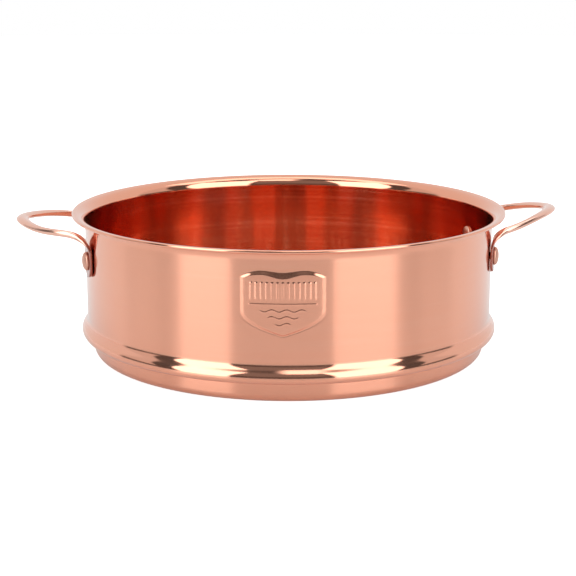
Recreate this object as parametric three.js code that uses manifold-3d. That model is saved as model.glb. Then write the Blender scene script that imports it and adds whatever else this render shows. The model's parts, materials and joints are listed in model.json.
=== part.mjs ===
// Stackable steamer tier: a drawn copper-finished vessel with a perforated floor,
// a stop bead above a nesting skirt, and two riveted loop handles.
// Millimetres, +Z up. Origin: on the vessel's axis at the underside of the floor.
// The handles lie along X, and the ornament is on the -Y side of the wall.
import * as THREE from "three";
import { mergeVertices } from "three/addons/utils/BufferGeometryUtils.js";
import Module from "manifold-3d";

// ---- Driving dimensions ----
const WALL_R = 140; // outside of the wall, a 28 cm tier
const SHEET = 0.8; // drawn sheet thickness
const RIM_Z = 98; // top of the lip
const SKIRT_R = 136; // outside of the skirt that nests in the pot below
const CORNER_R = 5; // bottom corner
const STOP_Z = 13.4; // flat underside of the stop bead
const BEAD_R = 144; // widest point of the stop bead
const BEAD_TOP_Z = 27.5; // where the bead runs into the wall
const FLARE_Z = 89.2; // where the lip starts to flare
const LIP_R = 148.7; // outer edge of the lip
const LIP_EDGE_R = 1.1; // rolled edge of the lip
const SEGMENTS = 72; // facets round the vessel
const PROFILE_STEPS = 2; // a curve in the vessel's profile has this many steps, an arc twice as many

const HOLE_R = 4; // steam holes
const HOLE_SIDES = 8;
const HOLE_RINGS = 5;
const RING_PITCH = 21;

const EAR_AZIMUTH = THREE.MathUtils.degToRad(16.4); // of each ear from the X axis
const EAR_HALF_WIDTH = 8;
const EAR_HALF_THICKNESS = 1;
const EAR_FOOT_Z = 59.5;
const EAR_BEND_Z = 76;
const ROD_R = 2.35; // handle rod
const HANDLE_TIP_X = 184.4; // centre of the rod at the tip
const HANDLE_TIP_Z = 93.8;
const GAP = 0.3; // clearance between neighbouring pieces

const RIVET_Z = 70.3;
const RIVET_SHANK_R = 2.5;
const RIVET_HEAD_R = 6.2;
const RIVET_HEAD_RISE = 3;
const RIVET_TAIL_R = 5;
const RIVET_TAIL_RISE = 2;

const SHIELD_AZIMUTH = THREE.MathUtils.degToRad(-95); // of the ornament's middle
const SHIELD_HALF_WIDTH = 26;
const SHIELD_TOP_Z = 83.5;
const SHIELD_POINT_Z = 43.5;
const SHIELD_RISE = 0.6;

// ---- Derived dimensions ----
const EAR_MID_R = WALL_R + GAP + EAR_HALF_THICKNESS;
const EAR_FACE_R = EAR_MID_R + EAR_HALF_THICKNESS;
const BORE_R = RIVET_SHANK_R + GAP;
const UP = new THREE.Vector3(0, 0, 1);
const QUARTER = Math.PI / 2;

// ---- Materials ----
const shellFinish = new THREE.MeshStandardMaterial({ color: 0xe2a184, roughness: 0.12, metalness: 1 });
const handleFinish = new THREE.MeshStandardMaterial({ color: 0xe6a88b, roughness: 0.15, metalness: 1 });
const rivetFinish = new THREE.MeshStandardMaterial({ color: 0xc98f78, roughness: 0.35, metalness: 1 });

// ---- Solids ----
const wasm = await Module();
wasm.setup();

function toSolid(geometry) {
  const bare = geometry.clone();
  bare.deleteAttribute("normal");
  bare.deleteAttribute("uv");
  const merged = mergeVertices(bare, 1e-4);
  const vertProperties = new Float32Array(merged.attributes.position.array);
  const triVerts = new Uint32Array(merged.index.array);
  return new wasm.Manifold(new wasm.Mesh({ numProp: 3, vertProperties, triVerts }));
}

function toGeometry(solid) {
  const mesh = solid.getMesh();
  const geometry = new THREE.BufferGeometry();
  geometry.setAttribute("position", new THREE.BufferAttribute(mesh.vertProperties, 3));
  geometry.setIndex(new THREE.BufferAttribute(mesh.triVerts, 1));
  geometry.computeVertexNormals();
  return geometry;
}

// A turned shape about +Z from (radius, height) points.
function turned(points, segments) {
  return new THREE.LatheGeometry(points, segments).rotateX(QUARTER);
}

// A cylinder that lies along a radius of the vessel.
function radialPin(radius, fromR, toR, azimuth, z, sides) {
  const pin = new THREE.CylinderGeometry(radius, radius, toR - fromR, sides);
  pin.translate(0, (fromR + toR) / 2, 0);
  return pin.rotateZ(azimuth - QUARTER).translate(0, 0, z);
}

// ---- Vessel body ----
// Outside of the sheet, from the middle of the floor up to the lip.
function outerLine() {
  const beadRound = BEAD_R - 140.4;
  const flareWidth = LIP_R - LIP_EDGE_R - WALL_R;
  const flareRise = RIM_Z - SHEET - FLARE_Z;
  const line = new THREE.Path();
  line.moveTo(0, 0);
  line.lineTo(SKIRT_R - CORNER_R, 0);
  line.absarc(SKIRT_R - CORNER_R, CORNER_R, CORNER_R, -QUARTER, 0);
  line.lineTo(SKIRT_R, STOP_Z);
  line.lineTo(BEAD_R - beadRound, STOP_Z);
  line.absarc(BEAD_R - beadRound, STOP_Z + beadRound, beadRound, -QUARTER, 0);
  line.bezierCurveTo(BEAD_R, 21.5, WALL_R, 22.5, WALL_R, BEAD_TOP_Z);
  line.lineTo(WALL_R, FLARE_Z);
  line.absellipse(WALL_R + flareWidth, FLARE_Z, flareWidth, flareRise, Math.PI, QUARTER, true);
  return withoutRepeats(line.getPoints(PROFILE_STEPS));
}

function withoutRepeats(points) {
  return points.filter((p, i) => i === 0 || p.distanceTo(points[i - 1]) > 0.01);
}

// The same line moved to the left of its direction by the sheet thickness.
function movedInward(points, distance) {
  return points.map((point, i) => {
    const before = points[Math.max(i - 1, 0)];
    const after = points[Math.min(i + 1, points.length - 1)];
    const left = (a, b) => new THREE.Vector2(a.y - b.y, b.x - a.x).normalize();
    const first = i === 0 ? left(point, after) : left(before, point);
    const last = i === points.length - 1 ? first : left(point, after);
    const mitre = first.clone().add(last).normalize();
    return point.clone().addScaledVector(mitre, distance / mitre.dot(first));
  });
}

function bodyProfile() {
  const outer = outerLine();
  const inner = movedInward(outer, SHEET);
  inner[0].x = 0;
  const edge = new THREE.Path();
  edge.absarc(LIP_R - LIP_EDGE_R, RIM_Z - LIP_EDGE_R, LIP_EDGE_R, -QUARTER, QUARTER);
  return [...outer.slice(0, -1), ...edge.getPoints(PROFILE_STEPS), ...inner.slice(0, -1).reverse()];
}

// Steam holes: one in the middle and six more in each ring than in the last.
function steamHoles() {
  const places = [[0, 0]];
  for (let ring = 1; ring <= HOLE_RINGS; ring += 1) {
    const count = 6 * ring;
    for (let i = 0; i < count; i += 1) {
      const angle = (2 * Math.PI * (i + 0.5 * (ring % 2))) / count;
      places.push([ring * RING_PITCH * Math.cos(angle), ring * RING_PITCH * Math.sin(angle)]);
    }
  }
  return places.map(([x, y]) => {
    const hole = new THREE.CylinderGeometry(HOLE_R, HOLE_R, 6 * SHEET, HOLE_SIDES);
    return toSolid(hole.rotateX(QUARTER).translate(x, y, 0));
  });
}

// Outline of the ornament: two low humps on top, straight sides, a curved point below.
function shieldShape() {
  const w = SHIELD_HALF_WIDTH;
  const top = SHIELD_TOP_Z;
  const shoulder = top - 4;
  const waist = SHIELD_POINT_Z + 16;
  const shape = new THREE.Shape();
  shape.moveTo(0, top - 1.5);
  shape.quadraticCurveTo(0.5 * w, top + 1.5, 0.95 * w, shoulder);
  shape.quadraticCurveTo(w, shoulder - 8, w, waist);
  shape.quadraticCurveTo(0.85 * w, SHIELD_POINT_Z + 5, 0, SHIELD_POINT_Z);
  shape.quadraticCurveTo(-0.85 * w, SHIELD_POINT_Z + 5, -w, waist);
  shape.quadraticCurveTo(-w, shoulder - 8, -0.95 * w, shoulder);
  shape.quadraticCurveTo(-0.5 * w, top + 1.5, 0, top - 1.5);
  return shape;
}

// The raised ornament: the shield's outline cut from a thin ring round the wall.
function shield() {
  const depth = 30;
  const prism = new THREE.ExtrudeGeometry(shieldShape(), { depth, bevelEnabled: false, curveSegments: 4 });
  prism.rotateX(QUARTER).translate(0, -WALL_R + depth / 2, 0);
  prism.rotateZ(SHIELD_AZIMUTH + QUARTER);
  const low = SHIELD_POINT_Z - 5;
  const high = SHIELD_TOP_Z + 5;
  const inside = WALL_R - SHEET / 2;
  const outside = WALL_R + SHIELD_RISE;
  const ring = [[inside, low], [outside, low], [outside, high], [inside, high], [inside, low]];
  const band = turned(ring.map(([r, z]) => new THREE.Vector2(r, z)), SEGMENTS);
  return toSolid(prism).intersect(toSolid(band));
}

function vesselBody() {
  let body = toSolid(turned(bodyProfile(), SEGMENTS)).add(shield());
  for (const hole of steamHoles()) {
    body = body.subtract(hole);
  }
  for (const azimuth of rivetPlaces().map((place) => place.azimuth)) {
    body = body.subtract(toSolid(radialPin(BORE_R, 130, 150, azimuth, RIVET_Z, 14)));
  }
  return toGeometry(body);
}

// ---- Handles ----
// Centre line of the right-hand handle: up the front ear, out round the loop, down the rear ear.
function handleLine() {
  const earX = EAR_MID_R * Math.cos(EAR_AZIMUTH);
  const earY = EAR_MID_R * Math.sin(EAR_AZIMUTH);
  const outward = new THREE.Vector3(0.9, 0.41, 0.15).normalize();
  const foot = new THREE.Vector3(earX, -earY, EAR_FOOT_Z);
  const bend = new THREE.Vector3(earX, -earY, EAR_BEND_Z);
  const start = new THREE.Vector3(148, -37.1, 87.8);
  const tip = new THREE.Vector3(HANDLE_TIP_X, 0, HANDLE_TIP_Z);
  const bendUp = bend.clone().addScaledVector(UP, 7.5);
  const startBack = start.clone().addScaledVector(outward, -7);
  const startOn = start.clone().addScaledVector(outward, 20);
  const tipBack = tip.clone().add(new THREE.Vector3(0, -17, 0));
  const mirrored = ({ x, y, z }) => new THREE.Vector3(x, -y, z);
  const stretches = [
    [foot, bend],
    [bend, bendUp, startBack, start],
    [start, startOn, tipBack, tip],
  ];
  const back = stretches.map((stretch) => stretch.map(mirrored).reverse()).reverse();
  const line = new THREE.CurvePath();
  for (const points of [...stretches, ...back]) {
    const Curve = points.length === 2 ? THREE.LineCurve3 : THREE.CubicBezierCurve3;
    line.add(new Curve(...points));
  }
  return line;
}

// Half width, half thickness and squareness of the bar, and how far it has become
// round rod, at a distance along it from its nearest end.
function barSection(distance) {
  const footCut = 0.5; // the rounded foot is this much short of a full half circle
  const neck = EAR_BEND_Z - EAR_FOOT_Z;
  const neckLength = 17;
  const round = THREE.MathUtils.smoothstep(distance, neck, neck + neckLength);
  const below = EAR_HALF_WIDTH - Math.min(distance + footCut, EAR_HALF_WIDTH);
  const earWidth = Math.sqrt(EAR_HALF_WIDTH ** 2 - below ** 2);
  return {
    width: THREE.MathUtils.lerp(earWidth, ROD_R, round),
    thickness: THREE.MathUtils.lerp(EAR_HALF_THICKNESS, ROD_R, round),
    power: THREE.MathUtils.lerp(0.35, 1, round),
    round,
  };
}

// Direction of the bar's width: along the wall at the ears, level on the rod.
function widthDirection(tangent, onFront, round) {
  const azimuth = onFront ? -EAR_AZIMUTH : EAR_AZIMUTH + Math.PI;
  const alongWall = new THREE.Vector3(-Math.sin(azimuth), Math.cos(azimuth), 0);
  const level = UP.clone().cross(tangent).normalize();
  const width = alongWall.lerp(level, round);
  return width.addScaledVector(tangent, -width.dot(tangent)).normalize();
}

function signedPower(value, power) {
  return Math.sign(value) * Math.abs(value) ** power;
}

// A unit cylinder whose rings are laid along the handle's line.
function handleBar() {
  const sides = 12;
  const steps = 58;
  const crowding = 0.1; // rings stand closer together towards the ears
  const line = handleLine();
  const length = line.getLength();
  const bar = new THREE.CylinderGeometry(1, 1, 1, sides, steps);
  const position = bar.attributes.position;
  const vertex = new THREE.Vector3();
  for (let i = 0; i < position.count; i += 1) {
    vertex.fromBufferAttribute(position, i);
    const share = vertex.y + 0.5;
    const t = share - crowding * Math.sin(2 * Math.PI * share);
    const tangent = line.getTangent(t);
    const section = barSection(Math.min(t, 1 - t) * length);
    const width = widthDirection(tangent, t < 0.5, section.round);
    const across = width.clone().cross(tangent);
    const place = line.getPoint(t);
    place.addScaledVector(width, section.width * signedPower(vertex.x, section.power));
    place.addScaledVector(across, section.thickness * signedPower(vertex.z, section.power));
    position.setXYZ(i, ...place.toArray());
  }
  return bar;
}

function handleGeometry() {
  let handle = toSolid(handleBar());
  for (const azimuth of [-EAR_AZIMUTH, EAR_AZIMUTH]) {
    handle = handle.subtract(toSolid(radialPin(BORE_R, 135, 150, azimuth, RIVET_Z, 14)));
  }
  return toGeometry(handle);
}

// ---- Rivets ----
// Turned about +Y, which becomes the outward radius: tail inside the wall, head outside.
function rivetGeometry() {
  const tailSeat = WALL_R - SHEET - GAP - 0.2;
  const headSeat = EAR_FACE_R + GAP;
  const line = new THREE.Path();
  line.moveTo(0, tailSeat - RIVET_TAIL_RISE);
  line.quadraticCurveTo(0.75 * RIVET_TAIL_R, tailSeat - RIVET_TAIL_RISE, RIVET_TAIL_R, tailSeat - 0.4);
  line.lineTo(RIVET_TAIL_R, tailSeat);
  line.lineTo(RIVET_SHANK_R, tailSeat);
  line.lineTo(RIVET_SHANK_R, headSeat);
  line.lineTo(RIVET_HEAD_R, headSeat);
  line.lineTo(RIVET_HEAD_R, headSeat + 0.6);
  const top = headSeat + RIVET_HEAD_RISE;
  line.quadraticCurveTo(0.75 * RIVET_HEAD_R, top, 0, top);
  return new THREE.LatheGeometry(withoutRepeats(line.getPoints(4)), 14);
}

function rivetPlaces() {
  return [
    { name: "rivet_right_front", azimuth: -EAR_AZIMUTH },
    { name: "rivet_right_rear", azimuth: EAR_AZIMUTH },
    { name: "rivet_left_front", azimuth: Math.PI + EAR_AZIMUTH },
    { name: "rivet_left_rear", azimuth: Math.PI - EAR_AZIMUTH },
  ];
}

// ---- Assembly ----
const tier = new THREE.Group();

function addPiece(name, geometry, material) {
  const mesh = new THREE.Mesh(geometry, material);
  mesh.name = name;
  tier.add(mesh);
  return mesh;
}

addPiece("vessel_body", vesselBody(), shellFinish);

const handle = handleGeometry();
addPiece("handle_right", handle, handleFinish);
addPiece("handle_left", handle, handleFinish).rotation.z = Math.PI;

const rivet = rivetGeometry();
for (const { name, azimuth } of rivetPlaces()) {
  const mesh = addPiece(name, rivet, rivetFinish);
  mesh.position.z = RIVET_Z;
  mesh.rotation.z = azimuth - QUARTER;
}

export default tier;
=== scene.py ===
"""A copper-finished steamer tier: drawn vessel with a perforated floor, two loop handles and four rivets."""

import json
import math

import bmesh
import bpy
from mathutils import Matrix, Vector
from mathutils.geometry import interpolate_bezier


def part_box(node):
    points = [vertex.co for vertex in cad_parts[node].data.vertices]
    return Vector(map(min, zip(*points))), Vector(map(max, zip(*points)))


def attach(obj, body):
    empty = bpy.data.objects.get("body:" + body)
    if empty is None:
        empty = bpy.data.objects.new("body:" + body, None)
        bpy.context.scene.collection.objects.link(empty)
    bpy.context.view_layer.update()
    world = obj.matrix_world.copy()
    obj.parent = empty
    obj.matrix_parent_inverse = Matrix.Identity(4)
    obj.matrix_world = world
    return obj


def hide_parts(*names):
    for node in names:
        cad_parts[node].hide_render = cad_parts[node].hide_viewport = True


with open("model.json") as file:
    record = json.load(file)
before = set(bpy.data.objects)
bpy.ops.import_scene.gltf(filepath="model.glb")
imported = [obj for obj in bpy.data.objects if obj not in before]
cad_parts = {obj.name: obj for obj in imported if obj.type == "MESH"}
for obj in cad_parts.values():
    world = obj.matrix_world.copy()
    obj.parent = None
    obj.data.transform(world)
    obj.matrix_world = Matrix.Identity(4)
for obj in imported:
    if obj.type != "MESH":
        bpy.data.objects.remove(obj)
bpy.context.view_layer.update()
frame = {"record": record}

bl_info = {
    "name": "Steamer Tier",
    "version": (1, 0, 0),
    "blender": (4, 5, 0),
    "location": "View3D > Sidebar > Steamer",
    "description": "Builds a copper-finished steamer tier round its packed frame",
    "category": "Object",
}

BODY = "root"
MM = 0.001
QUARTER = math.pi / 2
UP = Vector((0, 0, 1))
RIVETS = ("rivet_right_front", "rivet_right_rear", "rivet_left_front", "rivet_left_rear")


# ---- Sizes read from the frame ----
def mount_height(name):
    """Height of one of the record's mounts."""
    mounts = {mount["name"]: mount for mount in frame["record"]["mounts"]}
    return mounts[name]["pos_m"][2]


BODY_LOW, BODY_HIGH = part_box("vessel_body")
HANDLE_LOW, HANDLE_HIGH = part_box("handle_right")
RIVET_LOW, RIVET_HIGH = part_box("rivet_right_front")
RIVET_AZIMUTH = math.atan2(-(RIVET_LOW.y + RIVET_HIGH.y), RIVET_LOW.x + RIVET_HIGH.x)


class TierSizes(bpy.types.PropertyGroup):
    """Sizes of the tier, in metres."""

    wall_radius: bpy.props.FloatProperty(
        name="Wall radius", description="Outside of the wall", default=0.140, unit="LENGTH"
    )
    lip_radius: bpy.props.FloatProperty(
        name="Lip radius", description="Outer edge of the lip", default=BODY_HIGH.x, unit="LENGTH"
    )
    height: bpy.props.FloatProperty(
        name="Height", description="Top of the lip above the floor", default=BODY_HIGH.z, unit="LENGTH"
    )
    sheet: bpy.props.FloatProperty(
        name="Sheet", description="Thickness of the drawn sheet", default=0.0008, unit="LENGTH"
    )
    skirt_radius: bpy.props.FloatProperty(
        name="Skirt radius", description="Outside of the nesting skirt", default=0.136, unit="LENGTH"
    )
    skirt_depth: bpy.props.FloatProperty(
        name="Skirt depth",
        description="Underside of the stop bead above the floor",
        default=mount_height("stop_shoulder"),
        unit="LENGTH",
    )
    bead_radius: bpy.props.FloatProperty(
        name="Bead radius", description="Widest point of the stop bead", default=0.144, unit="LENGTH"
    )
    hole_radius: bpy.props.FloatProperty(
        name="Steam hole radius", description="Radius of each steam hole", default=0.004, unit="LENGTH"
    )
    rod_radius: bpy.props.FloatProperty(
        name="Rod radius", description="Radius of the handle rod", default=0.00235, unit="LENGTH"
    )
    ear_half_width: bpy.props.FloatProperty(
        name="Ear half width", description="Half the width of a flattened ear", default=0.008, unit="LENGTH"
    )


class TierFinish(bpy.types.PropertyGroup):
    """Colours of the tier and its studio."""

    copper: bpy.props.FloatVectorProperty(
        name="Copper",
        description="Reflected colour of the polished plating",
        subtype="COLOR",
        default=(0.90, 0.41, 0.27),
        min=0,
        max=1,
    )
    # Painted shade: the inside gets a darker, redder copy of the copper than the outside, standing in for the
    # shade inside the vessel.
    shaded_inside_copper: bpy.props.FloatVectorProperty(
        name="Shaded inside copper",
        description="Reflected colour of the inside, darker and redder as painted shade",
        subtype="COLOR",
        default=(0.74, 0.27, 0.145),
        min=0,
        max=1,
    )
    rivet_copper: bpy.props.FloatVectorProperty(
        name="Rivet copper",
        description="Reflected colour of the satin rivet heads",
        subtype="COLOR",
        default=(0.74, 0.40, 0.30),
        min=0,
        max=1,
    )
    # Painted highlight: the handles get a paler copy of the copper, standing in for their brighter
    # highlights.
    lit_rod_copper: bpy.props.FloatVectorProperty(
        name="Lit rod copper",
        description="Reflected colour of the handles, paler as painted highlight",
        subtype="COLOR",
        default=(0.93, 0.53, 0.41),
        min=0,
        max=1,
    )
    floor: bpy.props.FloatVectorProperty(
        name="Floor",
        description="Colour of the studio floor",
        subtype="COLOR",
        default=(0.67, 0.67, 0.67),
        min=0,
        max=1,
    )


# ---- Outlines ----
def arc(centre, radii, start, end, steps):
    """Points of an elliptical arc in the (radius, height) plane, angles in degrees."""
    points = []
    for i in range(steps + 1):
        angle = math.radians(start + (end - start) * i / steps)
        offset = Vector((radii[0] * math.cos(angle), radii[1] * math.sin(angle)))
        points.append(Vector(centre) + offset)
    return points


def bezier(a, b, c, d, steps):
    """Points of a cubic curve through 2D or 3D control points."""
    return interpolate_bezier(Vector(a), Vector(b), Vector(c), Vector(d), steps + 1)


def straight(a, b, steps):
    return [Vector(a).lerp(Vector(b), i / steps) for i in range(steps + 1)]


def without_repeats(points):
    kept = [points[0]]
    for point in points[1:]:
        if (point - kept[-1]).length > 1e-6:
            kept.append(point)
    return kept


def moved_inward(points, distance):
    """The line moved to the left of its direction."""
    moved = []
    for i, point in enumerate(points):
        before = points[max(i - 1, 0)]
        after = points[min(i + 1, len(points) - 1)]
        sides = []
        for a, b in ((before, point), (point, after)):
            if a != b:
                sides.append(Vector((a.y - b.y, b.x - a.x)).normalized())
        mitre = sum(sides, Vector((0, 0))).normalized()
        moved.append(point + mitre * distance / mitre.dot(sides[0]))
    return moved


FLAT_RING = 0.116  # from here inward the floor is flat and holds the steam holes
FLOOR_CORNER = 5 * MM  # radius of the bottom corner
CREASE_ROUND = 0.6 * MM  # radius of the crease between skirt and bead
BEAD_ROUND = 3.6 * MM  # radius under the bead
BEAD_TOP = 26.2 * MM  # where the bead runs out into the wall
FLARE_START = 90.6 * MM  # where the wall starts to turn outward to the lip
EDGE_RADIUS = 1.1 * MM  # of the rolled edge
SHIELD_ROWS = (40.5 * MM, 87.3 * MM, 20)  # lowest and highest wall row behind the ornament, and how many
COLUMNS = 288  # faces round the vessel


def wall_rows():
    """Heights of the wall's rows, closer together behind the ornament and at both ends."""
    low, high, count = SHIELD_ROWS
    support = 0.4 * MM
    rows = [BEAD_TOP, BEAD_TOP + support, (BEAD_TOP + low) / 2]
    rows += [low + (high - low) * i / count for i in range(count + 1)]
    return rows + [FLARE_START - support, FLARE_START]


def outer_line(sizes):
    """Outside of the sheet from the floor's flat ring up to the lip, as (radius, height) points."""
    wall = sizes.wall_radius
    skirt = sizes.skirt_radius
    stop = sizes.skirt_depth
    bead = sizes.bead_radius
    edge = sizes.lip_radius - EDGE_RADIUS
    corner = skirt - FLOOR_CORNER
    line = straight((FLAT_RING, 0), (corner - 0.5 * MM, 0), 3)
    line += arc((corner, FLOOR_CORNER), (FLOOR_CORNER,) * 2, -90, 0, 10)
    line += straight((skirt, FLOOR_CORNER + 0.3 * MM), (skirt, stop - CREASE_ROUND - 0.3 * MM), 3)
    line += arc((skirt + CREASE_ROUND, stop - CREASE_ROUND), (CREASE_ROUND,) * 2, 180, 90, 4)
    line += straight((skirt + CREASE_ROUND, stop), (bead - BEAD_ROUND, stop), 3)
    line += arc((bead - BEAD_ROUND, stop + BEAD_ROUND), (BEAD_ROUND,) * 2, -90, 0, 14)
    bead_middle = stop + BEAD_ROUND
    pull = 0.5 * (BEAD_TOP - bead_middle)
    line += bezier(
        (bead, bead_middle),
        (bead, bead_middle + pull),
        (wall, BEAD_TOP - pull),
        (wall, BEAD_TOP),
        20,
    )
    line += [Vector((wall, z)) for z in wall_rows()]
    rise = sizes.height - sizes.sheet - FLARE_START
    line += arc((edge, FLARE_START), (edge - wall, rise), 180, 90, 16)
    return without_repeats(line)


def vessel_line(sizes):
    """The whole section of the vessel outside its perforated floor, from under the floor to on top of it."""
    outer = outer_line(sizes)
    inner = moved_inward(outer, sizes.sheet)
    edge = (sizes.lip_radius - EDGE_RADIUS, sizes.height - EDGE_RADIUS)
    roll = arc(edge, (EDGE_RADIUS,) * 2, 170, 450, 22)
    below_roll = [p for p in outer if p.x < edge[0] - EDGE_RADIUS or p.y < FLARE_START]
    return without_repeats(below_roll + roll + inner[::-1])


# ---- Ornament: a plain raised shield with ribs and waves ----
SHIELD_AZIMUTH = math.radians(-95)
SHIELD_SPAN = math.radians(12.5)  # half the angle that is given a fine mesh
SHIELD_HALF_WIDTH = 26 * MM
SHIELD_TOP = 84 * MM
SHIELD_WAIST = 59.3 * MM  # where the sides start to draw in
SHIELD_POINT = 43.5 * MM
SHIELD_RISE = 0.75 * MM
SHIELD_SIDE = 1.8 * MM  # width of the slope at the sides
OUTLINE_DEPTH = 0.1 * MM  # of the groove round the lower half
DIVIDER = 63.5 * MM
RIBS = (66 * MM, 77.5 * MM)  # lowest and highest point of the ribs
RIB_PITCH = 3.2 * MM
FIRST_WAVE = 59.2 * MM
WAVE_SPACING = 4.2 * MM


def ease(share):
    share = min(max(share, 0), 1)
    return share * share * (3 - 2 * share)


def hump(distance, half_width):
    """A rounded ridge: 1 on its middle and 0 from half_width outwards."""
    return ease(1 - abs(distance) / half_width)


def depths_in_shield(u, z):
    """A point's depth below the shield's top edge and inside its sides, as shares of the slopes there.

    The third number is 0 above the shield's waist and grows to 1 at its point.
    """
    side = abs(u)
    half = SHIELD_HALF_WIDTH
    hump_at = half / 2
    dip = (1 + math.cos(math.pi * side / hump_at)) / 2 if side < hump_at else 0
    shoulder = max(side - hump_at, 0) / hump_at
    top = SHIELD_TOP - MM * dip - 4 * MM * shoulder**2
    drop = max(SHIELD_WAIST - z, 0) / (SHIELD_WAIST - SHIELD_POINT)
    slope = 2 * drop * half / (SHIELD_WAIST - SHIELD_POINT)
    inside = (half * (1 - drop * drop) - side) / math.hypot(1, slope)
    top_slope = (2.3 + 1.7 * dip) * (1 - 0.5 * shoulder**2) * MM
    return (top - z) / top_slope, inside / (SHIELD_SIDE * (1 - 0.5 * drop)), drop


def ornament_height(u, z):
    """Height of the ornament above the wall at a distance u round from its middle."""
    below_top, inside, drop = depths_in_shield(u, z)
    up_top = min(max(below_top, 0), 1)
    full = SHIELD_RISE * (1 - 0.7 * min(abs(u) / SHIELD_HALF_WIDTH, 1) ** 3)
    height = full * min(0.8 * up_top + 0.2 * ease(up_top), ease(inside))
    height -= OUTLINE_DEPTH * hump(inside + 0.4, 0.7) * ease(2 * drop)
    if below_top < 1 or inside < 1.5:
        return height
    side = abs(u)
    relief = 0.14 * hump(z - DIVIDER, 0.6 * MM) * ease((21 * MM - side) / MM)
    if z > DIVIDER:
        in_band = ease((z - RIBS[0]) / MM) * ease((RIBS[1] - z) / MM) * ease((20.5 * MM - side) / MM)
        relief += 0.28 * in_band * (0.5 + 0.5 * math.cos(2 * math.pi * u / RIB_PITCH)) ** 2
    for wave in range(3):
        centre = FIRST_WAVE - WAVE_SPACING * wave + 0.7 * MM * math.sin(2 * math.pi * u / (9 * MM))
        half_length = (15 - 4.5 * wave) * MM
        relief += 0.16 * hump(z - centre, 0.7 * MM) * ease((half_length - side) / (2 * MM))
    return height + relief * MM


def raise_ornament(bm, radius):
    """Gives the outside of the wall a fine mesh behind the shield and pushes it out."""
    low, high, _ = SHIELD_ROWS

    def place(point):
        turn = (math.atan2(point.y, point.x) - SHIELD_AZIMUTH + math.pi) % (2 * math.pi) - math.pi
        return turn, point.z, abs(math.hypot(point.x, point.y) - radius) < 0.3 * MM

    def inside(point):
        turn, z, on_face = place(point)
        return on_face and abs(turn) < SHIELD_SPAN + 1e-4 and low - 1e-6 < z < high + 1e-6

    edges = {edge for face in bm.faces if all(inside(v.co) for v in face.verts) for edge in face.edges}
    bmesh.ops.subdivide_edges(bm, edges=list(edges), cuts=6, use_grid_fill=True)
    for vert in bm.verts:
        if inside(vert.co):
            turn, z, _ = place(vert.co)
            away = radius + ornament_height(turn * radius, z)
            angle = SHIELD_AZIMUTH + turn
            vert.co = Vector((away * math.cos(angle), away * math.sin(angle), z))


# ---- Making a piece ----
def finish_piece(name, bm, materials, node_names):
    """Turns a finished bmesh into a piece that stands for its CAD nodes."""
    mesh = bpy.data.meshes.new(name)
    bm.to_mesh(mesh)
    bm.free()
    for material in materials:
        mesh.materials.append(material)
    piece = bpy.data.objects.new(name, mesh)
    bpy.context.scene.collection.objects.link(piece)
    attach(piece, BODY)
    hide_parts(*node_names)
    return piece


def add_line(bm, points):
    """Adds a row of joined vertices at (radius, height) points in the XZ plane."""
    verts = [bm.verts.new((p[0], 0, p[1])) for p in points]
    edges = [bm.edges.new(pair) for pair in zip(verts, verts[1:])]
    return verts + edges


def spun(bm, points, steps):
    """Spins a section all the way round Z."""
    bmesh.ops.spin(
        bm, geom=add_line(bm, points), cent=(0, 0, 0), axis=UP, angle=2 * math.pi, steps=steps, use_merge=True
    )
    bmesh.ops.remove_doubles(bm, verts=bm.verts, dist=1e-7)


# ---- Perforated floor ----
HOLE_RINGS = 5
RING_PITCH = 21 * MM
HOLE_SIDES = 20


def steam_hole_places():
    """One hole in the middle and six more in each ring than in the last."""
    places = [(0, 0)]
    for ring in range(1, HOLE_RINGS + 1):
        count = 6 * ring
        for i in range(count):
            angle = 2 * math.pi * (i + 0.5 * (ring % 2)) / count
            places.append((ring * RING_PITCH * math.cos(angle), ring * RING_PITCH * math.sin(angle)))
    return places


def add_steam_hole(bm, x, y, radius, sheet):
    """Adds the rounded wall of one hole, open above and below."""
    rounding = 0.25 * MM
    rings = [
        (radius + rounding, sheet),
        (radius, sheet - rounding),
        (radius, rounding),
        (radius + rounding, 0),
    ]
    verts = bmesh.ops.create_circle(
        bm, segments=HOLE_SIDES, radius=rings[0][0], matrix=Matrix.Translation((x, y, sheet))
    )["verts"]
    edges = list({edge for vert in verts for edge in vert.link_edges})
    centre = Vector((x, y, 0))
    for (before, _), (after, z) in zip(rings, rings[1:]):
        grown = bmesh.ops.extrude_edge_only(bm, edges=edges)["geom"]
        edges = [item for item in grown if isinstance(item, bmesh.types.BMEdge)]
        for vert in (item for item in grown if isinstance(item, bmesh.types.BMVert)):
            flat = Vector((vert.co.x, vert.co.y, 0)) - centre
            vert.co = centre + flat * after / before + UP * z


def fill_floor(bm, sheet):
    """Fills the flat of the floor, on both faces, round its steam holes."""
    open_edges = [edge for edge in bm.edges if edge.is_boundary]
    top = [edge for edge in open_edges if edge.verts[0].co.z > sheet / 2]
    bottom = [edge for edge in open_edges if edge.verts[0].co.z <= sheet / 2]
    flat = []
    for edges in (top, bottom):
        filled = bmesh.ops.triangle_fill(bm, use_beauty=True, use_dissolve=False, edges=edges, normal=UP)
        flat += [item for item in filled["geom"] if isinstance(item, bmesh.types.BMFace)]
    return flat


INSIDE, OUTSIDE = 0, 1


def build_vessel(sizes):
    bm = bmesh.new()
    for x, y in steam_hole_places():
        add_steam_hole(bm, x, y, sizes.hole_radius, sizes.sheet)
    spun(bm, vessel_line(sizes), COLUMNS)
    flat = fill_floor(bm, sizes.sheet)
    raise_ornament(bm, sizes.wall_radius)
    bmesh.ops.recalc_face_normals(bm, faces=bm.faces)
    for face in bm.faces:
        face.smooth = True
        centre = face.calc_center_median()
        outward = face.normal.dot(Vector((centre.x, centre.y, 0)))
        on_floor = centre.z < 1.5 * MM and abs(face.normal.z) > 0.9
        faces_in = face.normal.z > 0 if on_floor else outward < 0
        face.material_index = INSIDE if faces_in else OUTSIDE
    for face in flat:
        if face.is_valid:
            face.smooth = False
    return bm


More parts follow.
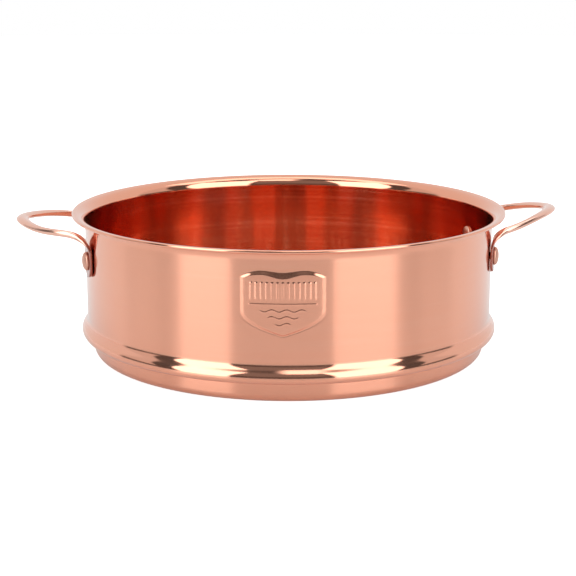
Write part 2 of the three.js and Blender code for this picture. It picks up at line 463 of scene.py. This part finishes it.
# ---- Handles ----
LOOP_SWELL = 1.7 * MM  # how much wider, on each side, the rod is at the end of its loop
LOOP_START = Vector((0.148, -0.0371, 0.0878))  # where the front leg comes out from under the lip
LOOP_TIP_HEIGHT = 0.0938
NECK = 16.5 * MM  # length of the flat ear
# Side, whether it is turned half a turn, and how far its loop is bent up and twisted.
LOOP_BENDS = (
    ("right", False, 2 * MM, 0),
    ("left", True, -1.5 * MM, -1.5 * MM),
)


def handle_line(sizes, lift, roll):
    """Centre line of the right-hand handle, from the foot of its front ear to the foot of its rear ear.

    The loop is bent up by lift, and its rear leg by roll more than its middle.
    """
    ear_radius = sizes.wall_radius + 1.3 * MM
    ear = Vector((ear_radius * math.cos(RIVET_AZIMUTH), -ear_radius * math.sin(RIVET_AZIMUTH), 0))
    foot = ear + UP * HANDLE_LOW.z
    bend = foot + UP * NECK
    outward = Vector((0.9, 0.41, 0.15)).normalized()
    tip = Vector((HANDLE_HIGH.x - sizes.rod_radius - LOOP_SWELL, 0, LOOP_TIP_HEIGHT))
    start = LOOP_START
    line = straight(foot, bend, 24)
    line += bezier(bend, bend + UP * 7.5 * MM, start - outward * 7 * MM, start, 24)
    line += bezier(start, start + outward * 20 * MM, tip - Vector((0, 12 * MM, 0)), tip, 40)
    front = without_repeats(line)
    rear = [Vector((p.x, -p.y, p.z)) for p in front[-2::-1]]
    line = front + rear
    for point in line:
        bent = ease((point.x - 0.146) / (30 * MM))
        point.z += bent * (lift + roll * point.y / (22 * MM))
    return line


def bar_section(distance, sizes):
    """Half width, half thickness, squareness and roundness of the bar at a distance from its nearest foot."""
    round_share = ease((distance - NECK) / (17 * MM))
    below = sizes.ear_half_width - min(distance + 0.1 * MM, sizes.ear_half_width)
    ear_width = math.sqrt(sizes.ear_half_width**2 - below**2)
    width = ear_width + (sizes.rod_radius - ear_width) * round_share
    width += LOOP_SWELL * ease((distance - 42 * MM) / (42 * MM))
    thickness = MM + (sizes.rod_radius - MM) * round_share
    return width, thickness, 0.35 + 0.65 * round_share, round_share


def signed_power(value, power):
    return math.copysign(abs(value) ** power, value)


BAR_SIDES = 32


def build_handle(sizes, half_turn, lift, roll):
    """Sweeps a changing section along the handle's line."""
    line = handle_line(sizes, lift, roll)
    lengths = [0]
    for a, b in zip(line, line[1:]):
        lengths.append(lengths[-1] + (b - a).length)
    bm = bmesh.new()
    verts = bmesh.ops.create_circle(bm, segments=BAR_SIDES, radius=1)["verts"]
    corners = [(v.co.x, v.co.y) for v in verts]
    edges = list({edge for vert in verts for edge in vert.link_edges})
    order = {vert: i for i, vert in enumerate(verts)}
    rings = []
    for i, place in enumerate(line):
        if i > 0:
            grown = bmesh.ops.extrude_edge_only(bm, edges=edges)["geom"]
            edges = [item for item in grown if isinstance(item, bmesh.types.BMEdge)]
            fresh = [item for item in grown if isinstance(item, bmesh.types.BMVert)]
            order = follow_order(order, fresh)
        tangent = (line[min(i + 1, len(line) - 1)] - line[max(i - 1, 0)]).normalized()
        distance = min(lengths[i], lengths[-1] - lengths[i])
        width, thickness, power, round_share = bar_section(distance, sizes)
        azimuth = -RIVET_AZIMUTH if i < len(line) / 2 else RIVET_AZIMUTH + math.pi
        along_wall = Vector((-math.sin(azimuth), math.cos(azimuth), 0))
        level = UP.cross(tangent).normalized()
        across = along_wall.lerp(level, round_share)
        across = (across - tangent * across.dot(tangent)).normalized()
        deep = across.cross(tangent)
        for vert, corner in order.items():
            x = width * signed_power(corners[corner][0], power)
            y = thickness * signed_power(corners[corner][1], power)
            vert.co = place + across * x + deep * y
        rings.append(list(order))
    for ring in (rings[0], rings[-1]):
        bmesh.ops.contextual_create(bm, geom=ring)
    turn = Matrix.Rotation(math.pi if half_turn else 0, 3, "Z")
    bmesh.ops.rotate(bm, verts=bm.verts, cent=(0, 0, 0), matrix=turn)
    bmesh.ops.recalc_face_normals(bm, faces=bm.faces)
    for face in bm.faces:
        face.smooth = len(face.verts) == 4
    return bm


def follow_order(order, fresh):
    """Gives each extruded vertex the number of the vertex that it came from."""
    numbers = {}
    for vert in fresh:
        for edge in vert.link_edges:
            other = edge.other_vert(vert)
            if other in order:
                numbers[vert] = order[other]
    return dict(sorted(numbers.items(), key=lambda item: item[1]))


# ---- Rivets ----
def rivet_line(sizes):
    """Section of a rivet lying along X, as (radius of the rivet, distance from the vessel's axis)."""
    head_radius = (RIVET_HIGH.z - RIVET_LOW.z) / 2
    tail_radius = 5 * MM
    shank = 2.5 * MM
    tail_seat = sizes.wall_radius - sizes.sheet - 0.1 * MM
    head_seat = sizes.wall_radius + 2.35 * MM
    head_top = head_seat + 3.1 * MM
    lip = 0.5 * MM
    tail_end = tail_seat - 2.2 * MM
    line = bezier(
        (0, tail_end),
        (2.2 * MM, tail_end),
        (tail_radius, tail_seat - 1.6 * MM),
        (tail_radius, tail_seat - lip),
        12,
    )
    line += [Vector((tail_radius - 0.15 * MM, tail_seat)), Vector((shank, tail_seat))]
    line += [Vector((shank, head_seat)), Vector((head_radius - 0.15 * MM, head_seat))]
    line += bezier(
        (head_radius, head_seat + lip),
        (head_radius, head_seat + 2.1 * MM),
        (3.4 * MM, head_top),
        (0, head_top),
        14,
    )
    return without_repeats(line)


def build_rivet(sizes, azimuth):
    bm = bmesh.new()
    spun(bm, rivet_line(sizes), 48)
    lie_outward = Matrix.Rotation(azimuth, 4, "Z") @ Matrix.Rotation(QUARTER, 4, "Y")
    height = (RIVET_LOW.z + RIVET_HIGH.z) / 2
    bmesh.ops.transform(bm, matrix=Matrix.Translation(UP * height) @ lie_outward, verts=bm.verts)
    bmesh.ops.recalc_face_normals(bm, faces=bm.faces)
    for face in bm.faces:
        face.smooth = True
    return bm


# ---- Node helpers ----
class Graph:
    """Adds nodes to a shader tree and joins them."""

    def __init__(self, tree):
        self.tree = tree
        tree.nodes.clear()

    def add(self, kind, inputs=None, **settings):
        node = self.tree.nodes.new(kind)
        for name, value in settings.items():
            setattr(node, name, value)
        for key, value in (inputs or {}).items():
            if isinstance(value, bpy.types.NodeSocket):
                self.tree.links.new(value, node.inputs[key])
            else:
                node.inputs[key].default_value = value
        return node

    def sum(self, operation, *values):
        """One Math node."""
        return self.add("ShaderNodeMath", dict(enumerate(values)), operation=operation).outputs[0]

    def degrees(self, radians):
        return self.sum("MULTIPLY", radians, 180 / math.pi)

    def radius(self, x, y):
        """Distance from the vessel's axis."""
        return self.sum("SQRT", self.sum("ADD", self.sum("MULTIPLY", x, x), self.sum("MULTIPLY", y, y)))

    def rise(self, value, start, end, low=0.0, high=1.0):
        """A soft step from low to high as the value goes from start to end."""
        inputs = {"Value": value, "From Min": start, "From Max": end, "To Min": low, "To Max": high}
        return self.add("ShaderNodeMapRange", inputs, interpolation_type="SMOOTHSTEP").outputs[0]

    def noise(self, vector, scale, detail=2.0, roughness=0.5):
        inputs = {"Vector": vector, "Scale": scale, "Detail": detail, "Roughness": roughness}
        return self.add("ShaderNodeTexNoise", inputs).outputs["Fac"]

    def window(self, value, low, high, soft):
        """1 between low and high, fading to 0 over a soft margin outside them."""
        up = self.rise(value, low - soft, low)
        down = self.rise(value, high, high + soft, 1.0, 0.0)
        return self.sum("MULTIPLY", up, down)

    def tint(self, fac, dark, light):
        inputs = {0: fac}
        for key, colour in ((6, dark), (7, light)):
            inputs[key] = colour if isinstance(colour, bpy.types.NodeSocket) else (*colour, 1)
        return self.add("ShaderNodeMix", inputs, data_type="RGBA").outputs[2]


    def surface(self, inputs):
        """The material's shader."""
        shader = self.add("ShaderNodeBsdfPrincipled", inputs)
        self.add("ShaderNodeOutputMaterial", {"Surface": shader.outputs[0]})


def scaled(colour, factor):
    return [min(part * factor, 1) for part in colour]


def new_material(name):
    """A material, its graph and its Object coordinates."""
    material = bpy.data.materials.new(name)
    material.use_nodes = True
    graph = Graph(material.node_tree)
    return material, graph, graph.add("ShaderNodeTexCoord").outputs["Object"]


# ---- Materials ----
LINE_STRETCH = 0.012  # how slowly the polishing lines change on their way round
STREAK_COLOUR = (0.9, 0.62, 0.5)
# Painted shade: a dark colour on the ears where they lie against the wall, standing in for the shade and dark
# reflections between ear and wall.
EAR_SHADE_COLOUR = (0.42, 0.14, 0.1)
EAR_SHADE_EDGE = (0.1425, 0.147)  # distances from the axis between which the ears' painted shade ends


def turned_copper(
    name, colour, lip_colour, *, line_depth, line_scale, wall_haze, rolled_haze, streak, coat
):
    """Lacquered, polished copper with fine lines round the vessel, which spread its reflections up and down.

    The wall between the bead and the lip is hazier than the rolled parts. Some of the lines are
    paler than the rest, by streak, and coat is the strength of the lacquer.
    """
    material, graph, place = new_material(name)
    x, y, z = graph.add("ShaderNodeSeparateXYZ", {0: place}).outputs
    profile = graph.sum("ADD", graph.radius(x, y), z)
    slow_x = graph.sum("MULTIPLY", x, LINE_STRETCH)
    slow_y = graph.sum("MULTIPLY", y, LINE_STRETCH)
    along_lines = graph.add("ShaderNodeCombineXYZ", {0: slow_x, 1: slow_y, 2: profile}).outputs[0]
    lines = graph.noise(along_lines, line_scale, 3.0, 0.65)
    patches = graph.noise(place, 16.0, 3.0)
    bump = graph.add("ShaderNodeBump", {"Strength": 1.0, "Distance": line_depth, "Height": lines})
    tone = graph.tint(patches, scaled(colour, 0.97), scaled(colour, 1.02))
    tone = graph.tint(graph.rise(lines, 0.45, 0.65, 0.0, streak), tone, STREAK_COLOUR)
    # Above the flare the lip takes lip_colour; for the inside this ends the painted shade at the lip.
    tone = graph.tint(graph.rise(z, FLARE_START - MM, FLARE_START + 1.5 * MM), tone, lip_colour)
    on_wall = graph.window(z, BEAD_TOP, FLARE_START, 3 * MM)
    haze = graph.sum("MULTIPLY_ADD", on_wall, wall_haze - rolled_haze, rolled_haze)
    wear = graph.rise(graph.noise(place, 55.0, 4.0, 0.6), 0.3, 0.75, 0.93, 1.07)
    tangent = graph.add("ShaderNodeTangent", direction_type="RADIAL", axis="Z").outputs[0]
    graph.surface(
        {
            "Base Color": tone,
            "Metallic": 1.0,
            "Roughness": graph.sum("MULTIPLY", haze, wear),
            "Anisotropic": 1.0,
            "Anisotropic Rotation": 0.25,
            "Coat Weight": coat,
            "Coat Roughness": 0.12,
            "Tangent": tangent,
            "Normal": bump.outputs[0],
        }
    )
    return material


def drawn_copper(colour):
    """Rod with faint draw lines, paler than the vessel as painted highlight, and with painted shade on its
    ears where they lie against the wall.
    """
    material, graph, place = new_material("drawn_copper_rod_painted_light")
    stretched = graph.add("ShaderNodeMapping", {"Vector": place, "Scale": (0.2, 0.2, 2.4)}).outputs[0]
    draw_lines = graph.noise(stretched, 600.0, 3.0, 0.6)
    dents = graph.noise(place, 90.0, 2.0)
    height = graph.sum("MULTIPLY_ADD", draw_lines, 0.12, dents)
    bump = graph.add("ShaderNodeBump", {"Strength": 1.0, "Distance": 0.00004, "Height": height})
    tone = graph.tint(graph.noise(place, 40.0, 3.0), scaled(colour, 0.95), scaled(colour, 1.03))
    x, y, _ = graph.add("ShaderNodeSeparateXYZ", {0: place}).outputs
    # Painted shade: the ears darken towards the wall.
    tone = graph.tint(graph.rise(graph.radius(x, y), *EAR_SHADE_EDGE), EAR_SHADE_COLOUR, tone)
    worn = graph.rise(graph.noise(place, 120.0, 4.0), 0.3, 0.75, 0.12, 0.18)
    graph.surface(
        {
            "Base Color": tone,
            "Metallic": 1.0,
            "Roughness": worn,
            "Coat Weight": 1.0,
            "Coat Roughness": 0.15,
            "Normal": bump.outputs[0],
        }
    )
    return material


def satin_copper(colour):
    """Rivet metal: softly blasted, with a fine grain."""
    material, graph, place = new_material("satin_copper_rivet")
    grain = graph.noise(place, 2600.0, 2.0)
    bump = graph.add("ShaderNodeBump", {"Strength": 1.0, "Distance": 0.00003, "Height": grain})
    tone = graph.tint(graph.noise(place, 400.0, 3.0), scaled(colour, 0.92), scaled(colour, 1.04))
    worn = graph.rise(graph.noise(place, 700.0, 3.0), 0.3, 0.75, 0.3, 0.4)
    graph.surface({"Base Color": tone, "Metallic": 1.0, "Roughness": worn, "Normal": bump.outputs[0]})
    return material


def floor_board(colour):
    """Glossy pale board with a barely visible tooth, lit up to white for the camera only."""
    material, graph, place = new_material("studio_board")
    tone = graph.tint(graph.noise(place, 300.0, 2.0), scaled(colour, 0.99), scaled(colour, 1.01))
    to_eye = graph.add("ShaderNodeLightPath").outputs["Is Camera Ray"]
    lift = graph.sum("MULTIPLY_ADD", to_eye, 0.8, 0.1)
    graph.surface(
        {
            "Base Color": tone,
            "Roughness": 0.3,
            "Specular IOR Level": 0.3,
            "Emission Color": (1, 1, 1, 1),
            "Emission Strength": lift,
        }
    )
    return material


# ---- Studio ----
CAMERA_YAW = math.radians(3.6)  # from the front towards the left-hand handle
CAMERA_ELEVATION = math.radians(13.41)
CAMERA_DISTANCE = 0.9752
CAMERA_AIM = Vector((0, 0, 0.0403))


def build_camera():
    data = bpy.data.cameras.new("camera")
    data.sensor_width = 36
    data.lens = 86.8
    data.shift_x = -0.001
    data.clip_start = 0.01
    camera = bpy.data.objects.new("camera", data)
    bpy.context.scene.collection.objects.link(camera)
    level = CAMERA_DISTANCE * math.cos(CAMERA_ELEVATION)
    rise = CAMERA_DISTANCE * math.sin(CAMERA_ELEVATION)
    offset = Vector((-level * math.sin(CAMERA_YAW), -level * math.cos(CAMERA_YAW), rise))
    camera.location = CAMERA_AIM + offset
    camera.rotation_euler = (-offset).to_track_quat("-Z", "Y").to_euler()
    bpy.context.scene.camera = camera


# Soft light sources round the tier, on the camera's right (side 1) or left (side -1). Angles in
# degrees: azimuth from the camera towards that side and elevation above the horizon. An edge leans
# back with its elevation by "lean". Then the soft margins and the brightness.
LIGHT_PANELS = (
    {"side": -1, "azimuth": (33, 56), "lean": (0, 0.4), "elevation": (-10, 57), "soft": (3, 3), "glow": 3.4},
    {"side": 1, "azimuth": (26, 55.5), "lean": (0, 0.4), "elevation": (-10, 57), "soft": (3, 3), "glow": 3.2},
    {"side": 1, "azimuth": (-40, 20), "lean": (0, 0), "elevation": (22, 58), "soft": (4, 8), "glow": 0.32},
    {"side": 1, "azimuth": (104, 200), "lean": (0, 0), "elevation": (-10, 90), "soft": (8, 1), "glow": 1.05},
    {"side": -1, "azimuth": (104, 200), "lean": (0, 0), "elevation": (-10, 90), "soft": (8, 1), "glow": 1.05},
    {"side": 1, "azimuth": (69, 200), "lean": (0.6, 0), "elevation": (13, 90), "soft": (4, 5), "glow": 0.9},
    {"side": -1, "azimuth": (69, 200), "lean": (0.6, 0), "elevation": (13, 90), "soft": (4, 5), "glow": 0.9},
)
# Panels overhead: pitch from the camera's horizon over the top, and lean to the right.
OVERHEAD_PANELS = (
    {"pitch": (58, 72), "lean": (-1, 10), "soft": (5, 8), "glow": 2.7},
    {"pitch": (87, 106), "lean": (-34, 34), "soft": (4, 6), "glow": 2.4},
)
ROOM_GLOW = 0.13


def build_world():
    """Softboxes in a dark room, seen in reflections; the camera itself sees plain white behind the tier."""
    world = bpy.data.worlds.new("studio")
    world.use_nodes = True
    graph = Graph(world.node_tree)
    direction = graph.add("ShaderNodeTexCoord").outputs["Generated"]
    x, y, z = graph.add("ShaderNodeSeparateXYZ", {0: direction}).outputs
    to_camera = graph.sum("MULTIPLY", y, -1.0)
    azimuth = graph.sum("ADD", graph.degrees(graph.sum("ARCTAN2", x, to_camera)), math.degrees(CAMERA_YAW))
    elevation = graph.degrees(graph.sum("ARCSINE", z))
    pitch = graph.degrees(graph.sum("ARCTAN2", z, to_camera))
    lean = graph.degrees(graph.sum("ARCTAN2", x, z))
    glow = ROOM_GLOW
    above = graph.sum("MAXIMUM", elevation, 0.0)
    for panel in LIGHT_PANELS:
        away = graph.sum("MULTIPLY", azimuth, panel["side"])
        near, far = (graph.sum("MULTIPLY_ADD", above, -lean, away) for lean in panel["lean"])
        start, end = panel["azimuth"]
        past_start = graph.rise(near, start - panel["soft"][0], start)
        across = graph.sum("MULTIPLY", past_start, graph.rise(far, end, end + panel["soft"][0], 1.0, 0.0))
        upright = graph.window(elevation, *panel["elevation"], panel["soft"][1])
        light = graph.sum("MULTIPLY", graph.sum("MULTIPLY", across, upright), panel["glow"])
        glow = graph.sum("MAXIMUM", glow, light)
    for panel in OVERHEAD_PANELS:
        over = graph.window(pitch, *panel["pitch"], panel["soft"][0])
        across = graph.window(lean, *panel["lean"], panel["soft"][1])
        light = graph.sum("MULTIPLY", graph.sum("MULTIPLY", over, across), panel["glow"])
        glow = graph.sum("MAXIMUM", glow, light)
    below_horizon = graph.rise(elevation, -2.0, -6.0)
    glow = graph.sum("MAXIMUM", glow, below_horizon)
    seen = graph.add("ShaderNodeLightPath").outputs["Is Camera Ray"]
    room = graph.add("ShaderNodeBackground", {"Strength": glow})
    backdrop = graph.add("ShaderNodeBackground", {"Color": (1, 1, 1, 1), "Strength": 1.0})
    mixed = graph.add("ShaderNodeMixShader", {0: seen, 1: room.outputs[0], 2: backdrop.outputs[0]})
    graph.add("ShaderNodeOutputWorld", {"Surface": mixed.outputs[0]})
    world.cycles.sampling_method = "MANUAL"
    world.cycles.sample_map_resolution = 1024
    bpy.context.scene.world = world


# ---- Operators ----
class StudioBuild(bpy.types.Operator):
    """Add the pale floor, the soft light and the camera"""

    bl_idname = "steamer.build_studio"
    bl_label = "Studio"

    def execute(self, context):
        build_camera()
        build_world()
        bm = bmesh.new()
        rim = bmesh.ops.create_circle(bm, cap_ends=True, segments=96, radius=4)["verts"]
        bmesh.ops.inset_region(bm, faces=list(rim[0].link_faces), thickness=3, use_boundary=True)
        mesh = bpy.data.meshes.new("studio_floor")
        bm.to_mesh(mesh)
        bm.free()
        mesh.materials.append(floor_board(context.scene.tier_finish.floor))
        floor = bpy.data.objects.new("studio_floor", mesh)
        context.scene.collection.objects.link(floor)
        scene = context.scene
        scene.view_settings.view_transform = "Standard"
        scene.cycles.max_bounces = 16
        scene.cycles.glossy_bounces = 14
        return {"FINISHED"}


class VesselBuild(bpy.types.Operator):
    """Build the drawn vessel with its bead, lip, ornament and perforated floor"""

    bl_idname = "steamer.build_vessel"
    bl_label = "Vessel"

    def execute(self, context):
        finish = context.scene.tier_finish
        # The inside is given the darker, redder copper as painted shade, with the outside's copper on its
        # lip.
        inside = turned_copper(
            "turned_copper_inside_painted_shade",
            finish.shaded_inside_copper,
            finish.copper,
            line_depth=0.00004,
            line_scale=420.0,
            wall_haze=0.1,
            rolled_haze=0.08,
            streak=0.5,
            coat=0.25,
        )
        outside = turned_copper(
            "turned_copper_outside",
            finish.copper,
            finish.copper,
            line_depth=0.00001,
            line_scale=900.0,
            wall_haze=0.13,
            rolled_haze=0.1,
            streak=0.06,
            coat=0.8,
        )
        bm = build_vessel(context.scene.tier_sizes)
        finish_piece("vessel", bm, (inside, outside), ("vessel_body",))
        return {"FINISHED"}


class HandleBuild(bpy.types.Operator):
    """Build the two loop handles with their flattened ears"""

    bl_idname = "steamer.build_handles"
    bl_label = "Handles"

    def execute(self, context):
        # The handles take the paler copper as painted highlight, and painted shade on their ears.
        rod = drawn_copper(context.scene.tier_finish.lit_rod_copper)
        for side, half_turn, lift, roll in LOOP_BENDS:
            bm = build_handle(context.scene.tier_sizes, half_turn, lift, roll)
            finish_piece(f"loop_handle_{side}", bm, (rod,), (f"handle_{side}",))
        return {"FINISHED"}


class RivetBuild(bpy.types.Operator):
    """Build the four domed rivets, with their tails inside the vessel"""

    bl_idname = "steamer.build_rivets"
    bl_label = "Rivets"

    def execute(self, context):
        metal = satin_copper(context.scene.tier_finish.rivet_copper)
        azimuths = (-RIVET_AZIMUTH, RIVET_AZIMUTH, math.pi + RIVET_AZIMUTH, math.pi - RIVET_AZIMUTH)
        for node, azimuth in zip(RIVETS, azimuths):
            bm = build_rivet(context.scene.tier_sizes, azimuth)
            finish_piece(node.replace("rivet", "domed_rivet"), bm, (metal,), (node,))
        return {"FINISHED"}


STEPS = (StudioBuild, VesselBuild, HandleBuild, RivetBuild)


class TierPanel(bpy.types.Panel):
    """Sizes, colours and building steps of the tier"""

    bl_idname = "VIEW3D_PT_steamer_tier"
    bl_label = "Steamer Tier"
    bl_space_type = "VIEW_3D"
    bl_region_type = "UI"
    bl_category = "Steamer"

    def draw(self, context):
        for group in (context.scene.tier_sizes, context.scene.tier_finish):
            box = self.layout.box()
            for name in group.__annotations__:
                box.prop(group, name)
        for step in STEPS:
            self.layout.operator(step.bl_idname)


CLASSES = (TierSizes, TierFinish, *STEPS, TierPanel)


def register():
    for item in CLASSES:
        bpy.utils.register_class(item)
    bpy.types.Scene.tier_sizes = bpy.props.PointerProperty(type=TierSizes)
    bpy.types.Scene.tier_finish = bpy.props.PointerProperty(type=TierFinish)


def unregister():
    del bpy.types.Scene.tier_finish
    del bpy.types.Scene.tier_sizes
    for item in reversed(CLASSES):
        bpy.utils.unregister_class(item)


def main():
    register()
    bpy.ops.steamer.build_studio()
    bpy.ops.steamer.build_vessel()
    bpy.ops.steamer.build_handles()
    bpy.ops.steamer.build_rivets()


if __name__ == "__main__":
    main()
